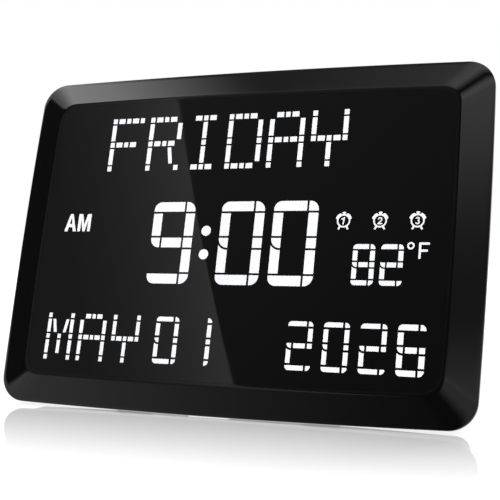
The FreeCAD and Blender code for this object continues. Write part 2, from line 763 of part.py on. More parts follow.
def make_front_frame():
    skin = loft(ridge_outline(0, 0), frame_outline(0, BEZEL_RISE))
    ridge = [e for e in skin.Edges if abs(e.BoundBox.YMax) < 1e-4]
    skin = skin.makeFillet(RIDGE_ROUND, ridge)
    lip = prism(frame_outline(0, BEZEL_RISE), LIP_BACK - BEZEL_RISE)
    body = skin.fuse(lip).removeSplitter()
    lip_edges = [e for e in body.Edges if abs(e.BoundBox.YMin - LIP_BACK) < 1e-4]
    body = body.makeFillet(EDGE_ROUND, lip_edges)
    inside = SKIRT_INSET + SKIRT_WALL
    skirt = prism(frame_outline(SKIRT_INSET, FRAME_FLOOR), SKIRT_BACK - FRAME_FLOOR)
    body = body.cut(prism(frame_outline(LIP_WALL, CHANNEL_FLOOR), FAR))
    body = body.fuse(skirt).cut(prism(frame_outline(inside, FRAME_FLOOR), FAR))
    body = body.cut(prism(panel_outline(0, -1), LEDGE_FRONT + 1))
    body = body.cut(prism(panel_outline(LEDGE_WIDTH, -1), FAR))
    posts = []
    for x in CASE_SCREW_X:
        for z in (-CASE_SCREW_Z, CASE_SCREW_Z):
            posts.append(rod(x, z, FRAME_FLOOR - 0.4, CASE_BOSS_BACK, CASE_BOSS_R))
    for x in DISPLAY_SCREW_X:
        for z in (-DISPLAY_SCREW_Z, DISPLAY_SCREW_Z):
            posts.append(rod(x, z, LEDGE_FRONT, DISPLAY_BOARD_FRONT, BOARD_BOSS_R))
    body = body.fuse(posts)
    holes = []
    for x in CASE_SCREW_X:
        for z in (-CASE_SCREW_Z, CASE_SCREW_Z):
            holes.append(rod(x, z, CASE_BOSS_BACK - SCREW_DEPTH, FAR, CASE_SCREW_R))
    for x in DISPLAY_SCREW_X:
        for z in (-DISPLAY_SCREW_Z, DISPLAY_SCREW_Z):
            holes.append(rod(x, z, DISPLAY_BOARD_BACK - BOARD_SCREW_LENGTH, FAR, BOARD_SCREW_R))
    return body.cut(holes)


def make_front_panel():
    plate = prism(panel_outline(PANEL_GAP, PANEL_FRONT), PANEL_THICK)
    front = [e for e in plate.Edges if abs(e.BoundBox.YMax - PANEL_FRONT) < 1e-4]
    return plate.makeFillet(PANEL_EDGE_ROUND, front)


def make_panel_tape():
    ring = prism(panel_outline(PANEL_GAP * 2, PANEL_BACK), TAPE_THICK)
    return ring.cut(prism(panel_outline(LEDGE_WIDTH - TAPE_EDGE_GAP, PANEL_BACK - 1), 2 + TAPE_THICK))


def stack_outline():
    """Edge of the display stack, inside the frame's ledge."""
    half_w = PANEL_HALF_WIDTH - LEDGE_WIDTH - LIGHT_BOX_GAP
    half_h = PANEL_HALF_HEIGHT - LEDGE_WIDTH - LIGHT_BOX_GAP
    return plate_outline(-half_w, half_w, -half_h, half_h, 3, 3, 3, 3)


def make_segment_film(wires):
    return flat([stack_outline()] + wires, FILM_FRONT, FILM_THICK)


def make_diffuser():
    return flat([stack_outline()], DIFFUSER_FRONT, DIFFUSER_THICK)


def make_light_box(cells):
    return flat([stack_outline()] + cells, LIGHT_BOX_FRONT, LIGHT_BOX_DEPTH)


def make_display_board():
    half_w = DISPLAY_BOARD_HALF_WIDTH
    half_h = DISPLAY_BOARD_HALF_HEIGHT
    board = box(-half_w, half_w, DISPLAY_BOARD_FRONT, DISPLAY_BOARD_BACK, -half_h, half_h)
    holes = []
    for x in DISPLAY_SCREW_X:
        for z in (-DISPLAY_SCREW_Z, DISPLAY_SCREW_Z):
            radius = BOARD_SCREW_R + SCREW_CLEARANCE
            holes.append(rod(x, z, DISPLAY_BOARD_FRONT - 1, DISPLAY_BOARD_BACK + 1, radius))
    return board.cut(holes)


def make_leds(cells):
    lamps = []
    for wire in cells:
        room = wire.BoundBox
        x = room.Center.x
        z = room.Center.z
        tall = room.ZLength > room.XLength
        half_x = (LED_WIDE if tall else LED_LONG) / 2
        half_z = (LED_LONG if tall else LED_WIDE) / 2
        back = DISPLAY_BOARD_FRONT
        lamps.append(box(x - half_x, x + half_x, back - LED_HIGH, back, z - half_z, z + half_z))
    return Part.Compound(lamps)


def make_drivers():
    chips = []
    for x in DRIVER_X:
        chips.append(
            box(x - DRIVER_LONG / 2, x + DRIVER_LONG / 2, DISPLAY_BOARD_BACK, DISPLAY_BOARD_BACK + CHIP_HIGH,
                DRIVER_Z - DRIVER_WIDE / 2, DRIVER_Z + DRIVER_WIDE / 2)
        )
    return Part.Compound(chips)


# ---- rear cover

def cover_block(wall):
    """Outside of the cover, or its hollow when wall is given."""
    mid = COVER_INSET + COVER_SIDE_TAPER
    sides = loft(
        frame_outline(COVER_INSET + wall, COVER_FRONT), frame_outline(mid + wall, COVER_SIDE_BACK)
    )
    bevel = loft(
        frame_outline(mid + wall, COVER_SIDE_BACK), frame_outline(mid + wall + COVER_BEVEL, COVER_BACK - wall)
    )
    return sides.fuse(bevel)


def case_spots():
    return [(x, z) for x in CASE_SCREW_X for z in (-CASE_SCREW_Z, CASE_SCREW_Z)]


def main_post_spots():
    return [(x, z) for x in (-MAIN_POST_X, MAIN_POST_X) for z in MAIN_POST_Z]


def button_x(i):
    return (i - (len(BUTTON_NAMES) - 1) / 2) * BUTTON_PITCH


def keyhole(x):
    slot = box(x - KEYHOLE_SLOT_R, x + KEYHOLE_SLOT_R, COVER_INNER - 1, COVER_BACK + 1, KEYHOLE_Z,
               KEYHOLE_Z + KEYHOLE_RISE)
    return [
        rod(x, KEYHOLE_Z, COVER_INNER - 1, COVER_BACK + 1, KEYHOLE_R),
        slot,
        rod(x, KEYHOLE_Z + KEYHOLE_RISE, COVER_INNER - 1, COVER_BACK + 1, KEYHOLE_SLOT_R),
    ]


def vent_slots():
    slots = []
    for side in (-1, 1):
        for i in range(VENT_COUNT):
            x = side * (VENT_X + i * VENT_PITCH)
            half = VENT_WIDTH / 2
            slots.append(
                box(x - half, x + half, COVER_INNER - 1, COVER_BACK + 1, VENT_Z - VENT_HEIGHT / 2,
                    VENT_Z + VENT_HEIGHT / 2)
            )
    return slots


def sound_slots():
    slots = []
    for i in range(SOUND_SLOTS):
        x = BUZZER_X + (i - (SOUND_SLOTS - 1) / 2) * SOUND_SLOT_PITCH
        half = SOUND_SLOT_WIDTH / 2
        slots.append(
            box(x - half, x + half, COVER_INNER - 1, COVER_BACK + 1, BUZZER_Z - SOUND_SLOT_HEIGHT / 2,
                BUZZER_Z + SOUND_SLOT_HEIGHT / 2)
        )
    return slots


def sector(x, z, y0, y1, radius, middle, spread):
    """Wedge of a disc about the y axis, spread degrees wide around the angle middle."""
    wedge = Part.makeCylinder(radius, y1 - y0, V(0, 0, 0), V(0, 1, 0), spread)
    bounds = wedge.CenterOfMass
    now = math.degrees(math.atan2(bounds.z, bounds.x))
    wedge.rotate(V(0, 0, 0), V(0, 1, 0), now - middle)
    wedge.translate(V(x, y0, z))
    return wedge


def door_cuts():
    seat = COVER_BACK - DOOR_PLATE - DOOR_LUG_GAP
    cuts = [
        rod(CELL_X, CONTROL_Z, seat, COVER_BACK + 1, DOOR_R + DOOR_FIT),
        rod(CELL_X, CONTROL_Z, COVER_INNER - 1, COVER_BACK, DOOR_HUB_R + DOOR_FIT),
    ]
    for middle in (-DOOR_TWIST, 180 - DOOR_TWIST):
        cuts.append(
            sector(CELL_X, CONTROL_Z, COVER_INNER - 1, COVER_BACK - DOOR_PLATE, DOOR_LUG_R + 0.3, middle,
                   DOOR_LUG_ANGLE + 6)
        )
    return cuts


def stand_recess(grow, floor):
    """The kickstand's recess, or its outer shape when grow is the wall."""
    half = RECESS_HALF_WIDTH + grow
    return box(-half, half, floor, COVER_BACK + (0 if grow else 1), -FAR, RECESS_TOP + grow)


def make_rear_cover():
    outer = cover_block(0)
    shell = outer.cut(cover_block(WALL).cut(box(-FAR, FAR, -FAR, COVER_FRONT, -FAR, FAR)))
    solids = [stand_recess(WALL, RECESS_FLOOR - WALL)]
    for x, z in case_spots():
        solids.append(rod(x, z, CASE_BOSS_BACK + 0.1, COVER_BACK, CASE_POST_R))
    for x, z in main_post_spots():
        solids.append(rod(x, z, MAIN_BOARD_BACK, COVER_BACK, BOARD_BOSS_R))
    inside = [solid.common(outer) for solid in solids]
    seats = [foot_box(side, FOOT_SEAT_Z, FOOT_SEAT_Z + FOOT_BLOCK) for side in (-1, 1)]
    body = shell.fuse(inside + seats)
    cuts = [stand_recess(0, RECESS_FLOOR)]
    for x, z in case_spots():
        cuts.append(rod(x, z, CASE_HEAD_SEAT, COVER_BACK + 1, CASE_BORE_R))
        cuts.append(rod(x, z, CASE_BOSS_BACK - 1, COVER_BACK, CASE_SCREW_R + SCREW_CLEARANCE))
    for x, z in main_post_spots():
        screw_end = MAIN_BOARD_FRONT + BOARD_SCREW_LENGTH
        cuts.append(rod(x, z, MAIN_BOARD_BACK - 1, screw_end, BOARD_SCREW_R))
    for i in range(len(BUTTON_NAMES)):
        cuts.append(rod(button_x(i), CONTROL_Z, COVER_INNER - 1, COVER_BACK + 1, BUTTON_R + BUTTON_FIT))
    cuts.append(rod(JACK_X, CONTROL_Z, COVER_INNER - 1, COVER_BACK + 1, JACK_COLLAR_R + JACK_HOLE_GAP))
    for side in (-1, 1):
        cuts += keyhole(side * KEYHOLE_X)
        cuts.append(foot_box(side, -FAR, FOOT_SEAT_Z))
    cuts += vent_slots() + sound_slots() + door_cuts()
    half = RECESS_HALF_WIDTH + WALL
    cuts.append(
        Part.makeCylinder(STAND_PIN_R, 2 * half + 2, V(-half - 1, STAND_PIVOT_Y, STAND_PIVOT_Z), V(1, 0, 0))
    )
    return body.cut(cuts).removeSplitter()


def make_case_screws():
    screws = []
    for x, z in case_spots():
        shank = rod(x, z, CASE_BOSS_BACK - SCREW_DEPTH + 1, CASE_HEAD_SEAT, CASE_SCREW_R)
        head = rod(x, z, CASE_HEAD_SEAT, CASE_HEAD_SEAT + CASE_SCREW_HEAD, CASE_SCREW_HEAD_R)
        screws.append(cross_cut(shank.fuse(head), x, z, CASE_HEAD_SEAT + CASE_SCREW_HEAD, -1))
    return Part.Compound(screws)


def cross_cut(screw, x, z, head_y, inward):
    """Cuts a cross recess into a screw head whose face is at head_y."""
    y0 = min(head_y, head_y + 0.8 * inward)
    y1 = max(head_y, head_y + 0.8 * inward)
    arms = [
        box(x - 1.3, x + 1.3, y0, y1, z - 0.3, z + 0.3),
        box(x - 0.3, x + 0.3, y0, y1, z - 1.3, z + 1.3),
    ]
    return screw.cut(arms)


def make_board_screws():
    screws = []
    for x in DISPLAY_SCREW_X:
        for z in (-DISPLAY_SCREW_Z, DISPLAY_SCREW_Z):
            back = DISPLAY_BOARD_BACK
            shank = rod(x, z, back - BOARD_SCREW_LENGTH, back, BOARD_SCREW_R)
            head = rod(x, z, back, back + BOARD_SCREW_HEAD, BOARD_SCREW_HEAD_R)
            screws.append(cross_cut(shank.fuse(head), x, z, back + BOARD_SCREW_HEAD, -1))
    for x, z in main_post_spots():
        front = MAIN_BOARD_FRONT
        shank = rod(x, z, front, front + BOARD_SCREW_LENGTH, BOARD_SCREW_R)
        head = rod(x, z, front - BOARD_SCREW_HEAD, front, BOARD_SCREW_HEAD_R)
        screws.append(cross_cut(shank.fuse(head), x, z, front - BOARD_SCREW_HEAD, 1))
    return Part.Compound(screws)


def foot_box(side, z0, z1):
    x0 = side * FOOT_X - FOOT_LENGTH / 2
    return box(x0, x0 + FOOT_LENGTH, FOOT_FRONT, FOOT_FRONT + FOOT_DEPTH, z0, z1)


def make_bottom_feet():
    feet = []
    for side in (-1, 1):
        feet.append(foot_box(side, -FAR, FOOT_SEAT_Z).common(above_floor()))
    return Part.Compound(feet)


def above_floor():
    """Everything above the floor, as it lies to the upright clock."""
    room = box(-FAR, FAR, -FAR, FAR, -FACE_CENTRE_HEIGHT, FAR)
    room.rotate(V(0, 0, 0), V(1, 0, 0), LEAN)
    return room


# ---- main board and its parts

def make_main_board():
    board = box(-MAIN_HALF_WIDTH, MAIN_HALF_WIDTH, MAIN_BOARD_FRONT, MAIN_BOARD_BACK, MAIN_BOTTOM, MAIN_TOP)
    holes = []
    for x, z in main_post_spots():
        radius = BOARD_SCREW_R + SCREW_CLEARANCE
        holes.append(rod(x, z, MAIN_BOARD_FRONT - 1, MAIN_BOARD_BACK + 1, radius))
    return board.cut(holes)


def make_switches():
    switches = []
    half = SWITCH_SIZE / 2
    y = MAIN_BOARD_BACK
    for i in range(len(BUTTON_NAMES)):
        x = button_x(i)
        body = box(x - half, x + half, y, y + SWITCH_BODY, CONTROL_Z - half, CONTROL_Z + half)
        key = rod(x, CONTROL_Z, y + SWITCH_BODY, y + SWITCH_BODY + SWITCH_KEY, SWITCH_KEY_R)
        switches.append(body.fuse(key))
    return Part.Compound(switches)


def make_button(i):
    x = button_x(i)
    key_top = MAIN_BOARD_BACK + SWITCH_BODY + SWITCH_KEY
    stem_end = key_top + BUTTON_TRAVEL + BUTTON_END_GAP
    flange_back = COVER_INNER - 0.1
    flange_front = flange_back - BUTTON_FLANGE
    cap = rod(x, CONTROL_Z, flange_front, COVER_BACK + BUTTON_PROUD, BUTTON_R)
    rim = [e for e in cap.Edges if abs(e.BoundBox.YMin - COVER_BACK - BUTTON_PROUD) < 1e-4]
    cap = cap.makeFillet(0.4, rim)
    flange = rod(x, CONTROL_Z, flange_front, flange_back, BUTTON_FLANGE_R)
    stem = rod(x, CONTROL_Z, stem_end, flange_front, BUTTON_STEM_R)
    return cap.fuse([flange, stem])


def make_jack():
    half = JACK_SIZE / 2
    y = MAIN_BOARD_BACK
    body = box(JACK_X - half, JACK_X + half, y, COVER_INNER - 0.2, CONTROL_Z - half, CONTROL_Z + half)
    collar = rod(JACK_X, CONTROL_Z, COVER_INNER - 0.2, COVER_BACK - JACK_SINK, JACK_COLLAR_R)
    bore = rod(JACK_X, CONTROL_Z, y + JACK_FLOOR, COVER_BACK + 1, JACK_BORE_R)
    return body.fuse(collar).cut(bore)


def make_jack_pin():
    y = MAIN_BOARD_BACK + JACK_FLOOR
    pin = rod(JACK_X, CONTROL_Z, y, COVER_BACK - JACK_SINK - 0.6, JACK_PIN_R)
    tip = [e for e in pin.Edges if abs(e.BoundBox.YMin - COVER_BACK + JACK_SINK + 0.6) < 1e-4]
    return pin.makeFillet(0.5, tip)


def make_battery_holder():
    y = MAIN_BOARD_BACK
    ring = rod(CELL_X, CONTROL_Z, y, y + HOLDER_HEIGHT, HOLDER_R)
    ring = ring.cut(rod(CELL_X, CONTROL_Z, y + HOLDER_FLOOR, y + FAR, CELL_R + HOLDER_GAP))
    thumb = box(CELL_X - 4, CELL_X + 4, y + HOLDER_FLOOR, y + FAR, CONTROL_Z, CONTROL_Z + FAR)
    seat = contact_box(y, 0.1)
    return ring.cut([thumb, seat])


def contact_box(y, grow):
    half = CONTACT_LENGTH / 2 + grow
    wide = CONTACT_WIDTH / 2 + grow
    return box(CELL_X - half, CELL_X + half, y, y + HOLDER_FLOOR, CONTROL_Z - wide, CONTROL_Z + wide)


def make_battery_contact():
    return contact_box(MAIN_BOARD_BACK, 0)


def make_coin_cell():
    y = MAIN_BOARD_BACK + HOLDER_FLOOR
    can = rod(CELL_X, CONTROL_Z, y + 0.3, y + CELL_THICK, CELL_R)
    base = rod(CELL_X, CONTROL_Z, y, y + 0.3, CELL_R - 1.2)
    rim = [e for e in can.Edges if abs(e.BoundBox.YMin - y - CELL_THICK) < 1e-4]
    return can.makeFillet(0.3, rim).fuse(base)


def make_battery_door():
    plate_y = COVER_BACK - DOOR_PLATE
    lug_back = COVER_INNER - DOOR_LUG_GAP
    plate = rod(CELL_X, CONTROL_Z, plate_y, COVER_BACK, DOOR_R)
    hub = rod(CELL_X, CONTROL_Z, lug_back - DOOR_LUG_THICK, plate_y, DOOR_HUB_R)
    hollow = rod(CELL_X, CONTROL_Z, lug_back - DOOR_LUG_THICK, plate_y, DOOR_HUB_R - 1.5)
    lugs = []
    for middle in (0, 180):
        lug = sector(CELL_X, CONTROL_Z, lug_back - DOOR_LUG_THICK, lug_back, DOOR_LUG_R, middle,
                     DOOR_LUG_ANGLE)
        lugs.append(lug.cut(hollow))
    half = COIN_SLOT_LENGTH / 2
    wide = COIN_SLOT_WIDTH / 2
    slot = box(CELL_X - half, CELL_X + half, COVER_BACK - COIN_SLOT_DEPTH, COVER_BACK + 1, CONTROL_Z - wide,
               CONTROL_Z + wide)
    ridge = box(CELL_X - half - 1, CELL_X + half + 1, plate_y - 0.9, plate_y, CONTROL_Z - wide - 1,
                CONTROL_Z + wide + 1)
    return plate.fuse(hub.cut(hollow)).fuse(lugs + [ridge]).cut(slot)


def make_buzzer():
    y = MAIN_BOARD_BACK
    body = rod(BUZZER_X, BUZZER_Z, y, y + BUZZER_HIGH, BUZZER_R)
    return body.cut(rod(BUZZER_X, BUZZER_Z, y + 2, y + FAR, BUZZER_HOLE_R))


def make_controller():
    half = CHIP_SIZE / 2
    y = MAIN_BOARD_FRONT
    return box(CHIP_X - half, CHIP_X + half, y - CHIP_HIGH, y, CONTROL_Z - half, CONTROL_Z + half)


def make_crystal():
    y = MAIN_BOARD_FRONT - CRYSTAL_R
    low = CONTROL_Z - CRYSTAL_LENGTH / 2
    return Part.makeCylinder(CRYSTAL_R, CRYSTAL_LENGTH, V(CRYSTAL_X, y, low), V(0, 0, 1))


def make_capacitors():
    y = MAIN_BOARD_BACK
    cans = []
    for x in CAPACITOR_X:
        cans.append(rod(x, CAPACITOR_Z, y, y + CAPACITOR_HIGH, CAPACITOR_R))
    return Part.Compound(cans)


def make_sensor():
    half = SENSOR_SIZE / 2
    y = MAIN_BOARD_BACK
    return box(SENSOR_X - half, SENSOR_X + half, y, y + 1.2, SENSOR_Z - half, SENSOR_Z + half)


def make_sockets():
    half = SOCKET_LENGTH / 2
    x0 = SOCKET_X - half
    x1 = SOCKET_X + half
    low = box(x0, x1, DISPLAY_BOARD_BACK, DISPLAY_BOARD_BACK + SOCKET_HIGH, CABLE_BOTTOM - SOCKET_DEPTH,
              CABLE_BOTTOM)
    high = box(x0, x1, MAIN_BOARD_FRONT - SOCKET_HIGH, MAIN_BOARD_FRONT, CABLE_TOP, CABLE_TOP + SOCKET_DEPTH)
    return Part.Compound([low, high])


def make_cable():
    half = CABLE_WIDTH / 2
    return box(SOCKET_X - half, SOCKET_X + half, CABLE_Y, CABLE_Y + CABLE_THICK, CABLE_BOTTOM, CABLE_TOP)


# ---- kickstand, drawn folded and swung open about its pin

def swing_open(shape):
    shape.rotate(V(0, STAND_PIVOT_Y, STAND_PIVOT_Z), V(1, 0, 0), STAND_OPEN)
    return shape


def leg_taper(y0, y1, inset):
    top = STAND_PIVOT_Z - 1
    low = STAND_PIVOT_Z - LEG_LENGTH + inset
    wide = STAND_HALF_WIDTH - inset
    narrow = STAND_FOOT_HALF_WIDTH - inset
    points = ((-narrow, low), (narrow, low), (wide, top - inset), (-wide, top - inset))
    wire = outline(points, (3, 3, 0, 0))
    face = Part.Face(wire)
    face.translate(V(0, y0, 0))
    return face.extrude(V(0, y1 - y0, 0))


def leg_end():
    """Past the end of the bare leg, where only the rubber foot goes on."""
    low = STAND_PIVOT_Z - LEG_LENGTH
    return box(-FAR, FAR, -FAR, FAR, low - FAR, low + 1.6)


def stand_planes():
    front = RECESS_FLOOR + STAND_BARREL_GAP + PAD_WALL
    return front, front + STAND_PLATE


def make_kickstand():
    front, back = stand_planes()
    plate = leg_taper(front, back, 0)
    rim = leg_taper(back, back + STAND_RIM, 0).cut(leg_taper(back, back + STAND_RIM, STAND_RIM_WIDTH))
    rim = rim.cut(box(-FAR, FAR, -FAR, FAR, -FAR, STAND_PIVOT_Z - LEG_LENGTH + PAD_LENGTH + 1.0))
    half = STAND_HALF_WIDTH
    at = V(-half, STAND_PIVOT_Y, STAND_PIVOT_Z)
    barrel = Part.makeCylinder(STAND_BARREL_R, 2 * half, at, V(1, 0, 0))
    leg = plate.fuse([rim, barrel]).cut(leg_end())
    leg = swing_open(leg)
    heel_front = RECESS_FLOOR + STOP_GAP
    heel = box(-half, half, heel_front, heel_front + HEEL_THICK, STAND_PIVOT_Z, STAND_PIVOT_Z + HEEL_HEIGHT)
    hole = Part.makeCylinder(STAND_PIN_R + STAND_PIN_FIT, 2 * half + 2, V(-half - 1, at.y, at.z), V(1, 0, 0))
    return leg.fuse(heel).cut(hole).removeSplitter()


def make_kickstand_foot():
    front, back = stand_planes()
    low = STAND_PIVOT_Z - LEG_LENGTH
    half = STAND_FOOT_HALF_WIDTH + PAD_WALL
    sleeve = box(-half, half, front - PAD_WALL, back + PAD_WALL, low - PAD_LENGTH, low + PAD_LENGTH)
    sleeve = swing_open(sleeve)
    return sleeve.common(above_floor()).cut(make_kickstand())


def make_kickstand_pin():
    half = RECESS_HALF_WIDTH + WALL
    at = V(-half, STAND_PIVOT_Y, STAND_PIVOT_Z)
    return Part.makeCylinder(STAND_PIN_R, 2 * half, at, V(1, 0, 0))


def fitted(wires):
    """A group of outlines, sized and spread from the panel they are drawn for to the panel in use."""
    wide = PANEL_HALF_WIDTH / READOUT_HALF_WIDTH
    high = PANEL_HALF_HEIGHT / READOUT_HALF_HEIGHT
    scale = min(wide, high)
    middle = Part.Compound(wires).BoundBox.Center
    shift = V(middle.x * (wide - scale), 0, middle.z * (high - scale))
    for wire in wires:
        wire.scale(scale)
        wire.translate(shift)
    return wires


def build_nodes():
    groups = {
        "day_segments": fitted(letters_day()),
        "time_segments": fitted(time_wires()),
        "colon_dots": fitted(colon_wires()),
        "temperature_segments": fitted(temperature_wires()),
        "month_segments": fitted(letters_month()),
        "date_segments": fitted(date_wires()),
        "year_segments": fitted(year_wires()),
    }
    icons = [fitted(icon_wires(i + 1, x, ICON_Z)) for i, x in enumerate(ICON_X)]
    signs = {
        "meridiem_sign": fitted(am_wires()),
        "alarm_icons": [wire for icon in icons for wire in icon],
        "temperature_unit": fitted(unit_wires()),
    }
    cells = []
    for wires in groups.values():
        cells += wires
    windows = list(cells)
    for wires in signs.values():
        windows += wires
    for wires in [signs["meridiem_sign"], signs["temperature_unit"]] + icons:
        cells.append(sign_box(wires))
    nodes = {}
    for name, wires in list(groups.items()) + list(signs.items()):
        nodes[name] = pads(wires)
    nodes["front_frame"] = make_front_frame()
    nodes["front_panel"] = make_front_panel()
    nodes["panel_tape"] = make_panel_tape()
    nodes["segment_film"] = make_segment_film(windows)
    nodes["diffuser_sheet"] = make_diffuser()
    nodes["light_box"] = make_light_box(cells)
    nodes["display_board"] = make_display_board()
    nodes["segment_leds"] = make_leds(cells)
    nodes["driver_chips"] = make_drivers()
    nodes["rear_cover"] = make_rear_cover()
    nodes["case_screws"] = make_case_screws()
    nodes["board_screws"] = make_board_screws()
    nodes["bottom_feet"] = make_bottom_feet()
    nodes["main_board"] = make_main_board()
    nodes["tact_switches"] = make_switches()
    for i, name in enumerate(BUTTON_NAMES):
        nodes["button_" + name] = make_button(i)
    nodes["power_jack"] = make_jack()
    nodes["power_jack_pin"] = make_jack_pin()
    nodes["battery_holder"] = make_battery_holder()
    nodes["battery_contact"] = make_battery_contact()
    nodes["coin_cell"] = make_coin_cell()
    nodes["battery_door"] = make_battery_door()
    nodes["buzzer"] = make_buzzer()
    nodes["controller_chip"] = make_controller()
    nodes["clock_crystal"] = make_crystal()
    nodes["capacitors"] = make_capacitors()
    nodes["temperature_sensor"] = make_sensor()
    nodes["cable_sockets"] = make_sockets()
    nodes["flat_cable"] = make_cable()
    nodes["kickstand"] = make_kickstand()
    nodes["kickstand_foot"] = make_kickstand_foot()
    nodes["kickstand_pin"] = make_kickstand_pin()
    return nodes


def main():
    os.makedirs("parts", exist_ok=True)
    nodes = build_nodes()
    for shape in nodes.values():
        shape.rotate(V(0, 0, 0), V(1, 0, 0), -LEAN)
        shape.translate(V(0, 0, FACE_CENTRE_HEIGHT))
    room = Part.Compound(list(nodes.values())).BoundBox
    for name, shape in nodes.items():
        shape.translate(V(0, -room.Center.y, 0))
        shape.exportStep("parts/" + name + ".step")


main()
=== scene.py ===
import math
from collections import namedtuple

import bmesh
import bpy
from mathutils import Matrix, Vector


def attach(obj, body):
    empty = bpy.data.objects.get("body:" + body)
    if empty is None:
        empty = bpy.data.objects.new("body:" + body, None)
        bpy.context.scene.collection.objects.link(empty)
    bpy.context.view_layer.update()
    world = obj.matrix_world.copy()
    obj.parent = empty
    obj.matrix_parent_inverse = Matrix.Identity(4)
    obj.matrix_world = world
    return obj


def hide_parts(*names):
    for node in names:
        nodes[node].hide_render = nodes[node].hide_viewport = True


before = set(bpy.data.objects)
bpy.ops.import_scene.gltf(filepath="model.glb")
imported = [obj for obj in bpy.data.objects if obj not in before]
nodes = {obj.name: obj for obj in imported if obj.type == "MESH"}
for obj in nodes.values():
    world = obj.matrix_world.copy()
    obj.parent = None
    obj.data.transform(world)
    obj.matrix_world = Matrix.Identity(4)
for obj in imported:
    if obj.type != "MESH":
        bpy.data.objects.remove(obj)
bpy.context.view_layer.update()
scene = bpy.context.scene

# ---------------------------------------------------------------- place of the face
# Local millimetres: x right, y back from the bezel's ridge, z up from the middle of the face.
LEAN = math.radians(15.2)
COS, SIN = math.cos(LEAN), math.sin(LEAN)
FACE_Y = -13.8622
FACE_Z = 92.1391
MM_IN_METRE = 1000


def place(x, y, z):
    return Vector((x, y * COS + z * SIN + FACE_Y, z * COS - y * SIN + FACE_Z)) / MM_IN_METRE


# ---------------------------------------------------------------- node helpers
NOISE_LOW = 0.3
NOISE_HIGH = 0.7


def material(name):
    m = bpy.data.materials.new(name)
    m.use_nodes = True
    tree = m.node_tree
    tree.nodes.clear()
    out = tree.nodes.new("ShaderNodeOutputMaterial")
    return m, tree, out


def add(tree, kind, **values):
    node = tree.nodes.new("ShaderNode" + kind)
    for key, value in values.items():
        if key in node.bl_rna.properties:
            setattr(node, key, value)
        else:
            node.inputs[key.replace("_", " ")].default_value = value
    return node


def link(tree, a, b):
    tree.links.new(a, b)


def noise(tree, scale, detail=3.0, roughness=0.5, stretch=(1, 1, 1)):
    where = add(tree, "TexCoord")
    fit = add(tree, "Mapping", Scale=stretch)
    texture = add(tree, "TexNoise", Scale=scale, Detail=detail, Roughness=roughness)
    link(tree, where.outputs["Object"], fit.inputs["Vector"])
    link(tree, fit.outputs["Vector"], texture.inputs["Vector"])
    return texture.outputs["Fac"]


def spread(tree, value, limits):
    """A number that drifts between two limits with the noise."""
    low, high = limits
    ramp = add(tree, "MapRange", From_Min=NOISE_LOW, From_Max=NOISE_HIGH, To_Min=low, To_Max=high)
    link(tree, value, ramp.inputs["Value"])
    return ramp.outputs["Result"]


def tint(tree, value, dark, light):
    """A colour that drifts between two colours with the noise."""
    ramp = add(tree, "ValToRGB")
    for element, position, colour in zip(ramp.color_ramp.elements, (NOISE_LOW, NOISE_HIGH), (dark, light)):
        element.position = position
        element.color = (*colour, 1)
    link(tree, value, ramp.inputs["Fac"])
    return ramp.outputs["Color"]


def bump(tree, value, strength, depth):
    node = add(tree, "Bump", Strength=strength, Distance=depth)
    link(tree, value, node.inputs["Height"])
    return node.outputs["Normal"]


def calc(tree, kind, a, b=None, c=None):
    node = add(tree, "Math", operation=kind)
    for i, value in enumerate((a, b, c)):
        if value is None:
            continue
        if isinstance(value, (int, float)):
            node.inputs[i].default_value = value
        else:
            link(tree, value, node.inputs[i])
    return node.outputs["Value"]


def times(tree, *factors):
    product = factors[0]
    for factor in factors[1:]:
        product = calc(tree, "MULTIPLY", product, factor)
    return product


def gate(tree, value, span, low=0.0, high=1.0, kind="SMOOTHSTEP"):
    """Goes from low to high while the value goes through the span."""
    start, end = span
    node = add(tree, "MapRange", From_Min=start, From_Max=end, To_Min=low, To_Max=high)
    node.interpolation_type = kind
    link(tree, value, node.inputs["Value"])
    return node.outputs["Result"]


def seen_ray(tree):
    """1 for camera, glossy and transmission rays."""
    path = add(tree, "LightPath")
    seen = calc(tree, "MAXIMUM", path.outputs["Is Camera Ray"], path.outputs["Is Glossy Ray"])
    return calc(tree, "MAXIMUM", seen, path.outputs["Is Transmission Ray"])


# ---------------------------------------------------------------- materials
# Noise scales are per metre, bump depths in metres.
def surface(name, dark, light, rough, grain, depth, metal=0.0, specular=0.5, scale=40.0, strength=0.3,
            stretch=(1, 1, 1)):
    """A moulded, cast or plated surface: broad colour drift, roughness drift and a fine grain."""
    m, tree, out = material(name)
    p = add(tree, "BsdfPrincipled", Metallic=metal, Specular_IOR_Level=specular)
    broad = noise(tree, scale, detail=4.0, roughness=0.55, stretch=stretch)
    fine = noise(tree, grain, detail=3.0, roughness=0.6, stretch=stretch)
    link(tree, tint(tree, broad, dark, light), p.inputs["Base Color"])
    link(tree, spread(tree, broad, rough), p.inputs["Roughness"])
    link(tree, bump(tree, fine, strength, depth), p.inputs["Normal"])
    link(tree, p.outputs["BSDF"], out.inputs["Surface"])
    return m


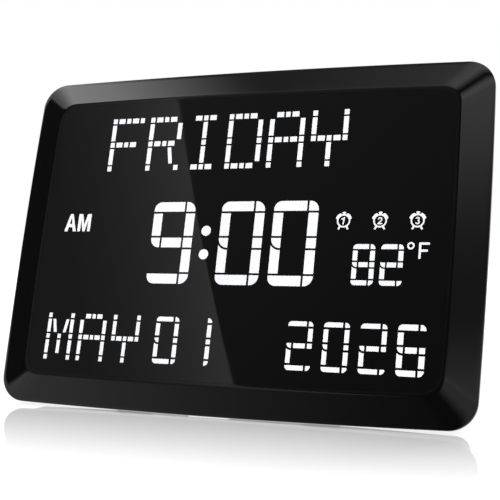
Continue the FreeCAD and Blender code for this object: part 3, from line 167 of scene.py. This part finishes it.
GLOSS = surface("gloss_black", dark=(0.0010, 0.0010, 0.0011), light=(0.0016, 0.0016, 0.0017),
                rough=(0.03, 0.05), grain=900.0, depth=0.00001, scale=25.0, strength=0.02)
CASE = surface("case_black", dark=(0.018, 0.018, 0.019), light=(0.027, 0.027, 0.028), rough=(0.46, 0.58),
               grain=2600.0, depth=0.00012, specular=0.4, scale=60.0, strength=0.55)
BUTTON = surface("button_black", dark=(0.030, 0.030, 0.032), light=(0.042, 0.042, 0.044), rough=(0.32, 0.42),
                 grain=3200.0, depth=0.00006, specular=0.45, scale=200.0, strength=0.35)
RUBBER = surface("rubber_black", dark=(0.016, 0.016, 0.016), light=(0.030, 0.030, 0.029), rough=(0.72, 0.88),
                 grain=1900.0, depth=0.00025, specular=0.3, scale=160.0, strength=0.7)
MASK = surface("mask_black", dark=(0.0022, 0.0022, 0.0024), light=(0.0036, 0.0036, 0.0038), rough=(0.55, 0.7),
               grain=2600.0, depth=0.00002, specular=0.2, scale=50.0, strength=0.2)
TAPE = surface("foam_tape", dark=(0.0022, 0.0022, 0.0023), light=(0.0036, 0.0036, 0.0037), rough=(0.8, 0.9),
               grain=1500.0, depth=0.0002, specular=0.2)
DIFFUSER = surface("diffuser", dark=(0.80, 0.81, 0.82), light=(0.87, 0.88, 0.89), rough=(0.6, 0.7),
                   grain=2200.0, depth=0.00004, scale=30.0)
WHITE = surface("moulded_white", dark=(0.80, 0.80, 0.78), light=(0.87, 0.87, 0.85), rough=(0.45, 0.55),
                grain=1400.0, depth=0.0001, scale=45.0)
CHIP = surface("moulded_resin", dark=(0.014, 0.014, 0.015), light=(0.026, 0.026, 0.027), rough=(0.5, 0.62),
               grain=2400.0, depth=0.0001, scale=220.0, strength=0.5)
LED = surface("led_resin", dark=(0.82, 0.78, 0.55), light=(0.9, 0.88, 0.7), rough=(0.3, 0.4),
              grain=1800.0, depth=0.00003, scale=400.0)
SCREW = surface("zinc_screw", dark=(0.30, 0.30, 0.31), light=(0.42, 0.42, 0.43), rough=(0.28, 0.42),
                grain=3000.0, depth=0.00004, metal=1.0, scale=500.0)
STEEL = surface("bright_steel", dark=(0.56, 0.56, 0.55), light=(0.66, 0.66, 0.65), rough=(0.20, 0.30),
                grain=2200.0, depth=0.00003, metal=1.0, scale=120.0, stretch=(8, 1, 1))
PLATED = surface("nickel_plated", dark=(0.70, 0.68, 0.62), light=(0.80, 0.78, 0.73), rough=(0.14, 0.24),
                 grain=2400.0, depth=0.00002, metal=1.0, scale=300.0)
CAN = surface("aluminium_can", dark=(0.66, 0.66, 0.67), light=(0.76, 0.76, 0.77), rough=(0.26, 0.36),
              grain=2600.0, depth=0.00003, metal=1.0, scale=240.0)
FLEX = surface("flat_cable", dark=(0.72, 0.72, 0.69), light=(0.82, 0.82, 0.79), rough=(0.42, 0.5),
               grain=1600.0, depth=0.00004, scale=90.0, stretch=(6, 1, 1))


def board_material():
    """Green solder mask with faint tracks under it."""
    m, tree, out = material("solder_mask")
    p = add(tree, "BsdfPrincipled", Coat_Weight=0.3)
    broad = noise(tree, scale=30.0)
    link(tree, spread(tree, broad, (0.3, 0.4)), p.inputs["Roughness"])
    where = add(tree, "TexCoord")
    upright = add(tree, "Mapping", Rotation=(math.radians(90), 0, 0))
    tracks = add(tree, "TexBrick", Scale=90.0, Mortar_Size=0.03, Color1=(0.020, 0.115, 0.045, 1),
                 Color2=(0.024, 0.135, 0.052, 1), Mortar=(0.045, 0.22, 0.09, 1))
    link(tree, where.outputs["Object"], upright.inputs["Vector"])
    link(tree, upright.outputs["Vector"], tracks.inputs["Vector"])
    link(tree, tracks.outputs["Color"], p.inputs["Base Color"])
    link(tree, bump(tree, broad, strength=0.2, depth=0.0001), p.inputs["Normal"])
    link(tree, p.outputs["BSDF"], out.inputs["Surface"])
    return m


def lit_material():
    """Translucent white, lit from behind: even, with the faintest drift of brightness."""
    m, tree, out = material("lit_white")
    p = add(tree, "BsdfPrincipled", Emission_Strength=28.9)
    drift = noise(tree, scale=18.0)
    fine = noise(tree, scale=1500.0)
    link(tree, spread(tree, drift, (0.55, 0.65)), p.inputs["Roughness"])
    link(tree, bump(tree, fine, strength=0.2, depth=0.00003), p.inputs["Normal"])
    glow = tint(tree, drift, dark=(0.93, 0.94, 0.96), light=(1.0, 1.0, 1.0))
    body = tint(tree, drift, dark=(0.85, 0.86, 0.88), light=(0.9, 0.91, 0.92))
    link(tree, glow, p.inputs["Emission Color"])
    link(tree, body, p.inputs["Base Color"])
    link(tree, p.outputs["BSDF"], out.inputs["Surface"])
    return m


def panel_material():
    """Smoked acrylic: clear enough for the lit segments, near black over the dark film."""
    m, tree, out = material("smoked_panel")
    p = add(tree, "BsdfPrincipled", IOR=1.49, Transmission_Weight=1.0)
    drift = noise(tree, scale=14.0, detail=5.0, roughness=0.6)
    fine = noise(tree, scale=700.0)
    smoke = tint(tree, drift, dark=(0.036, 0.036, 0.037), light=(0.040, 0.040, 0.041))
    link(tree, smoke, p.inputs["Base Color"])
    link(tree, spread(tree, drift, (0.0, 0.03)), p.inputs["Roughness"])
    link(tree, bump(tree, fine, strength=0.02, depth=0.00001), p.inputs["Normal"])
    link(tree, p.outputs["BSDF"], out.inputs["Surface"])
    return m


BOARD = board_material()
LIT = lit_material()
PANEL = panel_material()

FINISHES = (
    (TAPE, ("panel_tape",)),
    (MASK, ("segment_film",)),
    (DIFFUSER, ("diffuser_sheet",)),
    (WHITE, ("light_box", "cable_sockets")),
    (BOARD, ("display_board", "main_board")),
    (LED, ("segment_leds",)),
    (CHIP, ("driver_chips", "tact_switches", "power_jack", "battery_holder", "buzzer", "controller_chip",
            "temperature_sensor")),
    (CASE, ("rear_cover", "battery_door", "kickstand")),
    (SCREW, ("case_screws", "board_screws")),
    (RUBBER, ("bottom_feet", "kickstand_foot")),
    (PLATED, ("power_jack_pin", "battery_contact")),
    (STEEL, ("coin_cell", "clock_crystal", "kickstand_pin")),
    (CAN, ("capacitors",)),
    (FLEX, ("flat_cable",)),
    (LIT, ("day_segments", "meridiem_sign", "time_segments", "colon_dots", "alarm_icons",
           "temperature_segments", "temperature_unit", "month_segments", "date_segments", "year_segments")),
    (BUTTON, ("button_set", "button_alarm", "button_up", "button_down", "button_brightness",
              "button_unit")),
)


def dress_nodes():
    """Gives each carried-over piece its finish."""
    for finish, names in FINISHES:
        for name in names:
            slots = nodes[name].data.materials
            slots.clear()
            slots.append(finish)


# ---------------------------------------------------------------- bowed outlines of the frame and the panel
Outline = namedtuple("Outline", "half_width half_height bow_side bow_top corner")

BEZEL = 15.6
BEZEL_TOP = 14.6
FRAME = Outline(half_width=131.34, half_height=93.0, bow_side=1.34, bow_top=1.7, corner=14.2)
RIDGE = Outline(half_width=FRAME.half_width - BEZEL, half_height=FRAME.half_height - BEZEL_TOP,
                bow_side=1.2, bow_top=1.6, corner=10.7)
SIDE_STEPS = 28
CORNER_STEPS = 14
SETTLING_ROUNDS = 20


def bow_radius(half_length, bow):
    return (half_length ** 2 + bow ** 2) / (2 * bow)


def arc(x, z, radius, start, end, steps):
    """Points along an arc, without its last one."""
    angles = (start + (end - start) * i / steps for i in range(steps))
    return [(x + radius * math.cos(angle), z + radius * math.sin(angle)) for angle in angles]


def bowed_points(shape, inset):
    """Points round an outline with bowed sides and rounded corners, moved inward by inset."""
    corner = shape.corner
    r_top = bow_radius(shape.half_width, shape.bow_top)
    r_side = bow_radius(shape.half_height, shape.bow_side)
    top_z = shape.half_height - r_top
    side_x = shape.half_width - r_side
    # the corner's middle is where its arc runs into both bows
    cx = shape.half_width - corner
    for _ in range(SETTLING_ROUNDS):
        cz = top_z + math.sqrt((r_top - corner) ** 2 - cx ** 2)
        cx = side_x + math.sqrt((r_side - corner) ** 2 - cz ** 2)
    top_angle = math.atan2(cz - top_z, cx)
    side_angle = math.atan2(cz, cx - side_x)
    quarter = arc(0, top_z, r_top - inset, math.pi / 2, top_angle, SIDE_STEPS)
    quarter += arc(cx, cz, corner - inset, top_angle, side_angle, CORNER_STEPS)
    quarter += arc(side_x, 0, r_side - inset, side_angle, 0, SIDE_STEPS)
    right = quarter + [(side_x + r_side - inset, 0.0)] + [(x, -z) for x, z in reversed(quarter)]
    left = [(-x, z) for x, z in reversed(right[1:-1])]
    return right + left


def mixed(a, b, share):
    return [(p[0] + (q[0] - p[0]) * share, p[1] + (q[1] - p[1]) * share) for p, q in zip(a, b)]


# ---------------------------------------------------------------- skins
SHARP_ANGLE = math.radians(50)


def face_outward(mesh):
    """Turns all faces outward."""
    bm = bmesh.new()
    bm.from_mesh(mesh)
    bmesh.ops.recalc_face_normals(bm, faces=bm.faces)
    bm.to_mesh(mesh)
    bm.free()


def skin(name, rings, closed, finish, body, node):
    """A skin through rings of (points, depth), closed into a loop or else capped at its two ends."""
    count = len(rings[0][0])
    verts = [place(x, depth, z) for points, depth in rings for x, z in points]
    faces = []
    for j in range(len(rings) if closed else len(rings) - 1):
        a = j * count
        b = (j + 1) % len(rings) * count
        for i in range(count):
            k = (i + 1) % count
            faces.append((a + i, b + i, b + k, a + k))
    if not closed:
        faces.append(tuple(range(count)))
        faces.append(tuple(reversed(range(len(verts) - count, len(verts)))))
    mesh = bpy.data.meshes.new(name)
    mesh.from_pydata(verts, [], faces)
    mesh.validate()
    face_outward(mesh)
    obj = bpy.data.objects.new(name, mesh)
    scene.collection.objects.link(obj)
    for face in mesh.polygons:
        face.use_smooth = True
    mesh.set_sharp_from_angle(angle=SHARP_ANGLE)
    # the caps stay flat, and this comes after the call above, which resets it
    for face in mesh.polygons:
        face.use_smooth = len(face.vertices) == 4
    mesh.materials.append(finish)
    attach(obj, body)
    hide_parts(node)


# ---------------------------------------------------------------- front frame
RISE = 4.8
RIM = 1.8
RIDGE_R = 7.0
ROUND_STEPS = 14
SLOPE_STEPS = 8
SLOPE_END = 0.5
LEDGE_Y = 2.3
LEDGE_WIDTH = 4.5
LIP_BACK = 7.6
LIP_WIDTH = 2.4
LIP_INNER_Y = 5.9
WALL_OUTSIDE = 6.2
WALL_INSIDE = 8.2
WALL_BACK = 10.9
SKIN_INNER_Y = 4.3
# (inset, depth) of the points round the lip's front edge, from RISE, and round its back edge, from LIP_BACK
LIP_FRONT_EDGE = ((0.24, -0.02), (0.06, 0.12), (0.0, 0.4))
LIP_BACK_EDGE = ((0.0, -0.6), (0.05, -0.35), (0.18, -0.18), (0.36, -0.05), (0.6, 0.0))


def bezel_rings():
    """From the panel's opening over the soft ridge, down the slope, round the lip and back inside."""
    outer = bowed_points(FRAME, 0)
    ridge = bowed_points(RIDGE, 0)
    slope = math.atan2(RISE, BEZEL)
    reach = RIDGE_R * math.tan(slope / 2)
    rings = [(bowed_points(RIDGE, RIM), LEDGE_Y), (bowed_points(RIDGE, RIM), 0.0)]
    for i in range(ROUND_STEPS + 1):
        angle = slope * i / ROUND_STEPS
        out = RIDGE_R * math.sin(angle) - reach
        points = bowed_points(RIDGE, -out) if out < 0 else mixed(ridge, outer, out / BEZEL)
        rings.append((points, RIDGE_R * (1 - math.cos(angle))))
    rest = BEZEL - SLOPE_END - out
    for i in range(1, SLOPE_STEPS + 1):
        share = (out + rest * i / SLOPE_STEPS) / BEZEL
        rings.append((mixed(ridge, outer, share), RISE * share))
    profile = [(inset, RISE + depth) for inset, depth in LIP_FRONT_EDGE]
    profile += [(inset, LIP_BACK + depth) for inset, depth in LIP_BACK_EDGE]
    profile += [(LIP_WIDTH, LIP_BACK), (LIP_WIDTH, LIP_INNER_Y), (WALL_OUTSIDE, LIP_INNER_Y)]
    profile += [(WALL_OUTSIDE, WALL_BACK), (WALL_INSIDE, WALL_BACK), (WALL_INSIDE, SKIN_INNER_Y)]
    rings += [(bowed_points(FRAME, inset), depth) for inset, depth in profile]
    for depth in (SKIN_INNER_Y, LEDGE_Y):
        rings.append((bowed_points(RIDGE, RIM + LEDGE_WIDTH), depth))
    return rings


# ---------------------------------------------------------------- front panel
PANEL_GAP = 0.06
PANEL_CHAMFER = 0.03
PANEL_FRONT = 0.05
PANEL_BACK = 2.0


def panel_rings():
    """A flush sheet with a fine chamfer in front."""
    edge = RIM + PANEL_GAP
    profile = ((edge + PANEL_CHAMFER, PANEL_FRONT), (edge, PANEL_FRONT + PANEL_CHAMFER), (edge, PANEL_BACK))
    return [(bowed_points(RIDGE, inset), depth) for inset, depth in profile]


# ---------------------------------------------------------------- camera
LENS = 78.88
SENSOR_WIDTH = 36.0
EYE = (0.2275, -0.5328, 0.0946)
EYE_DOWN = 0.99
EYE_TURN = 22.72


def place_camera():
    camera = bpy.data.cameras.new("camera")
    camera.lens = LENS
    camera.sensor_width = SENSOR_WIDTH
    eye = bpy.data.objects.new("camera", camera)
    scene.collection.objects.link(eye)
    eye.location = EYE
    eye.rotation_euler = (math.radians(90 - EYE_DOWN), 0, math.radians(EYE_TURN))
    scene.camera = eye


# ---------------------------------------------------------------- lamps and world
LAMP_AIM = (0, 0, 0.08)
# name, place in metres, width in metres, power in watts
LAMPS = (
    ("key", (-1.6, -1.6, 2.2), 1.6, 34.0),
    ("fill", (1.9, -1.2, 1.3), 1.8, 16.0),
    ("back", (0.5, 2.0, 1.9), 1.8, 24.0),
)
WHITE_LIGHT = (1, 1, 1, 1)
SOFT_LIGHT = 0.45
SHOWN_WHITE = 1.0


def hide_from(obj, *rays):
    for ray in rays:
        setattr(obj, "visible_" + ray, False)


def lamp(name, spot, size, power):
    light = bpy.data.lights.new(name, "AREA")
    light.shape = "DISK"
    light.size = size
    light.energy = power
    obj = bpy.data.objects.new(name, light)
    scene.collection.objects.link(obj)
    obj.location = spot
    obj.rotation_euler = (Vector(LAMP_AIM) - Vector(spot)).to_track_quat("-Z", "Y").to_euler()
    hide_from(obj, "camera", "glossy", "transmission")


def white_world():
    """White to the eye and in reflections, and a softer light on surfaces."""
    world = bpy.data.worlds.new("studio")
    scene.world = world
    world.use_nodes = True
    tree = world.node_tree
    tree.nodes.clear()
    out = add(tree, "OutputWorld")
    soft = add(tree, "Background", Strength=SOFT_LIGHT, Color=WHITE_LIGHT)
    shown = add(tree, "Background", Strength=SHOWN_WHITE, Color=WHITE_LIGHT)
    mix = add(tree, "MixShader")
    link(tree, seen_ray(tree), mix.inputs["Fac"])
    link(tree, soft.outputs["Background"], mix.inputs[1])
    link(tree, shown.outputs["Background"], mix.inputs[2])
    link(tree, mix.outputs["Shader"], out.inputs["Surface"])


# ---------------------------------------------------------------- floor
# Metres. The mirror fades in from MIRROR_RISE's first y to its second, and out beyond MIRROR_END's distances.
FLOOR_REACH = 6
TABLE_GLOW = 0.62
MIRROR_SHARE = 0.64
MIRROR_RISE = (-0.24, 0.02)
MIRROR_END = (0.6, 0.35)


def floor():
    """Pale table with a soft mirror image just in front of the clock, fading towards the viewer."""
    r = FLOOR_REACH
    mesh = bpy.data.meshes.new("floor")
    mesh.from_pydata([(-r, -r, 0), (r, -r, 0), (r, r, 0), (-r, r, 0)], [], [(0, 1, 2, 3)])
    obj = bpy.data.objects.new("floor", mesh)
    scene.collection.objects.link(obj)
    m, tree, out = material("pale_table")
    where = add(tree, "TexCoord").outputs["Object"]
    split = add(tree, "SeparateXYZ")
    link(tree, where, split.inputs["Vector"])
    body = add(tree, "BsdfDiffuse")
    drift = noise(tree, scale=3.0)
    link(tree, tint(tree, drift, dark=(0.84, 0.84, 0.84), light=(0.86, 0.86, 0.86)), body.inputs["Color"])
    glow = add(tree, "Emission")
    link(tree, calc(tree, "MULTIPLY", seen_ray(tree), TABLE_GLOW), glow.inputs["Strength"])
    pale = add(tree, "AddShader")
    link(tree, body.outputs["BSDF"], pale.inputs[0])
    link(tree, glow.outputs["Emission"], pale.inputs[1])
    mirror = add(tree, "BsdfGlossy", Roughness=0.03, Color=WHITE_LIGHT)
    distance = add(tree, "VectorMath", operation="LENGTH")
    link(tree, where, distance.inputs[0])
    near = gate(tree, split.outputs["Y"], MIRROR_RISE, 0.0, MIRROR_SHARE)
    near = calc(tree, "MULTIPLY", near, gate(tree, distance.outputs["Value"], MIRROR_END))
    mix = add(tree, "MixShader")
    link(tree, near, mix.inputs["Fac"])
    link(tree, pale.outputs["Shader"], mix.inputs[1])
    link(tree, mirror.outputs["BSDF"], mix.inputs[2])
    link(tree, mix.outputs["Shader"], out.inputs["Surface"])
    mesh.materials.append(m)
    hide_from(obj, "glossy")


# ---------------------------------------------------------------- studio screen
# Places on the screen are angles in degrees: left of the view straight ahead, and up from level.
SCREEN_RADIUS = 60.0
SCREEN_MIDDLE = 0.09
SCREEN_ROWS, SCREEN_COLUMNS = 24, 32
SCREEN_BOTTOM, SCREEN_TOP = -60, 90
SCREEN_SIDE = 110
SCREEN_DIM = 0.045
# the card's edge lies CARD_EDGE left of ahead at level, and CARD_SLANT further for each degree up
CARD_EDGE = 14.6
CARD_SLANT = 0.52
CARD_BLUR = 0.05
CARD_FADE = 6.5
CARD_FADE_END = 9.0
CARD_LIGHT = 0.60
CARD_LEAST = 0.03
# the wall's light for each degree up, and for each degree left of the card's edge
WALL_UP = 0.0055
WALL_ACROSS = 0.0038
WALL_LEAST = -0.015
HIGH_SLANT = 1.34
HIGH_EDGE = 132.0
RIGHT_SIDE = (-10, -16)
HAZE_LIGHT = 0.12
LOW_LIGHT = 0.64
TABLE_SLANT = 0.43
TABLE_EDGE = -22.5
TABLE_LOWEST = -2.0
TABLE_LIGHT = 0.62


def window_card(tree, left, up):
    """A card with a slanted edge that fades to the left, and the dim wall to its right."""
    edge = calc(tree, "MULTIPLY_ADD", up, CARD_SLANT, CARD_EDGE)
    beyond = calc(tree, "SUBTRACT", left, edge)
    inside = calc(tree, "MINIMUM", calc(tree, "MAXIMUM", beyond, 0.0), CARD_FADE_END)
    fade = calc(tree, "EXPONENT", calc(tree, "MULTIPLY", inside, -1 / CARD_FADE))
    light = calc(tree, "MULTIPLY_ADD", fade, CARD_LIGHT, CARD_LEAST)
    card_edge = gate(tree, beyond, (-CARD_BLUR, CARD_BLUR))
    card_far_end = gate(tree, left, (57, 47))
    card = times(tree, card_edge, light, card_far_end)
    across = calc(tree, "MULTIPLY_ADD", beyond, WALL_ACROSS, WALL_LEAST)
    wall = calc(tree, "MAXIMUM", calc(tree, "MULTIPLY_ADD", up, WALL_UP, across), 0.0)
    wall_edge = gate(tree, beyond, (CARD_BLUR, -CARD_BLUR))
    wall_far_end = gate(tree, left, (-6, 2))
    wall = times(tree, wall, wall_edge, wall_far_end)
    bottom = gate(tree, up, (-2.6, -1.4))
    top = gate(tree, up, (62, 54))
    return times(tree, calc(tree, "ADD", card, wall), bottom, top)


def high_box(tree, left, up):
    """A soft box high on the left, sharp along its slanted lower edge."""
    above = calc(tree, "MULTIPLY_ADD", left, HIGH_SLANT, calc(tree, "SUBTRACT", up, HIGH_EDGE))
    bottom = gate(tree, above, (-0.5, 0.5))
    top = gate(tree, up, (64, 54))
    side = gate(tree, left, (45, 56))
    light = gate(tree, up, (37, 53), 0.95, 3.3)
    return times(tree, bottom, light, top, side)


def overhead_strip(tree, left, up):
    """A strip overhead, brighter to the right."""
    bottom = gate(tree, up, (53, 62))
    light = gate(tree, left, (56, -4), 0.2, 1.16, "LINEAR")
    return times(tree, bottom, light)


def right_card(tree, left, up):
    """A tall card on the right."""
    bottom = gate(tree, up, (25.5, 38))
    top = gate(tree, up, (54, 46))
    light = gate(tree, up, (38, 46), 0.85, 1.15)
    return times(tree, bottom, top, gate(tree, left, RIGHT_SIDE), light)


def right_haze(tree, left, up):
    """Faint light between the tall card and the low one."""
    bottom = gate(tree, up, (17, 24.5))
    top = gate(tree, up, (32, 26))
    return times(tree, gate(tree, left, RIGHT_SIDE), bottom, top, HAZE_LIGHT)


def low_right_card(tree, left, up):
    """A low card under the tall one."""
    side = gate(tree, left, (-4, -14))
    top = gate(tree, up, (24.5, 17))
    light = gate(tree, up, (14, 20), 0.72, 1.0)
    return times(tree, side, top, light, LOW_LIGHT)


def table_glow(tree, left, up):
    """The table at the lower left, with its edge against the dark."""
    slanted = calc(tree, "MULTIPLY_ADD", left, TABLE_SLANT, TABLE_EDGE)
    edge = calc(tree, "MAXIMUM", slanted, TABLE_LOWEST)
    below = gate(tree, calc(tree, "SUBTRACT", up, edge), (0.4, -0.4))
    ramp = gate(tree, left, (6, 37), kind="LINEAR")
    return times(tree, below, ramp, ramp, TABLE_LIGHT)


def screen_mesh():
    verts = []
    faces = []
    r = SCREEN_RADIUS
    for j in range(SCREEN_ROWS + 1):
        up = math.radians(SCREEN_BOTTOM + (SCREEN_TOP - SCREEN_BOTTOM) * j / SCREEN_ROWS)
        for i in range(SCREEN_COLUMNS + 1):
            left = math.radians(SCREEN_SIDE * (2 * i / SCREEN_COLUMNS - 1))
            across = r * math.cos(up)
            height = SCREEN_MIDDLE + r * math.sin(up)
            verts.append((-across * math.sin(left), -across * math.cos(left), height))
    for j in range(SCREEN_ROWS):
        for i in range(SCREEN_COLUMNS):
            a = j * (SCREEN_COLUMNS + 1) + i
            faces.append((a, a + 1, a + SCREEN_COLUMNS + 2, a + SCREEN_COLUMNS + 1))
    mesh = bpy.data.meshes.new("screen")
    mesh.from_pydata(verts, [], faces)
    return mesh


def studio_screen():
    """Dark screen in front of the clock with soft lit areas, seen only in reflections."""
    mesh = screen_mesh()
    obj = bpy.data.objects.new("screen", mesh)
    scene.collection.objects.link(obj)
    m, tree, out = material("screen_light")
    split = add(tree, "SeparateXYZ")
    link(tree, add(tree, "TexCoord").outputs["Object"], split.inputs["Vector"])
    x, y, z = (split.outputs[key] for key in "XYZ")
    turn = calc(tree, "ARCTAN2", calc(tree, "MULTIPLY", x, -1.0), calc(tree, "MULTIPLY", y, -1.0))
    left = calc(tree, "DEGREES", turn)
    up = calc(tree, "DEGREES", calc(tree, "ARCSINE", calc(tree, "DIVIDE", z, SCREEN_RADIUS)))
    total = calc(tree, "ADD", window_card(tree, left, up), SCREEN_DIM)
    for area in (high_box, overhead_strip, right_card, right_haze, low_right_card, table_glow):
        total = calc(tree, "ADD", total, area(tree, left, up))
    glow = add(tree, "Emission")
    link(tree, total, glow.inputs["Strength"])
    link(tree, glow.outputs["Emission"], out.inputs["Surface"])
    mesh.materials.append(m)
    hide_from(obj, "camera", "diffuse", "shadow")


# ---------------------------------------------------------------- the scene
dress_nodes()
skin("front_frame_shell", bezel_rings(), True, GLOSS, "case", "front_frame")
skin("smoked_front", panel_rings(), False, PANEL, "case", "front_panel")
place_camera()
for values in LAMPS:
    lamp(*values)
white_world()
floor()
studio_screen()
scene.view_settings.view_transform = "Standard"
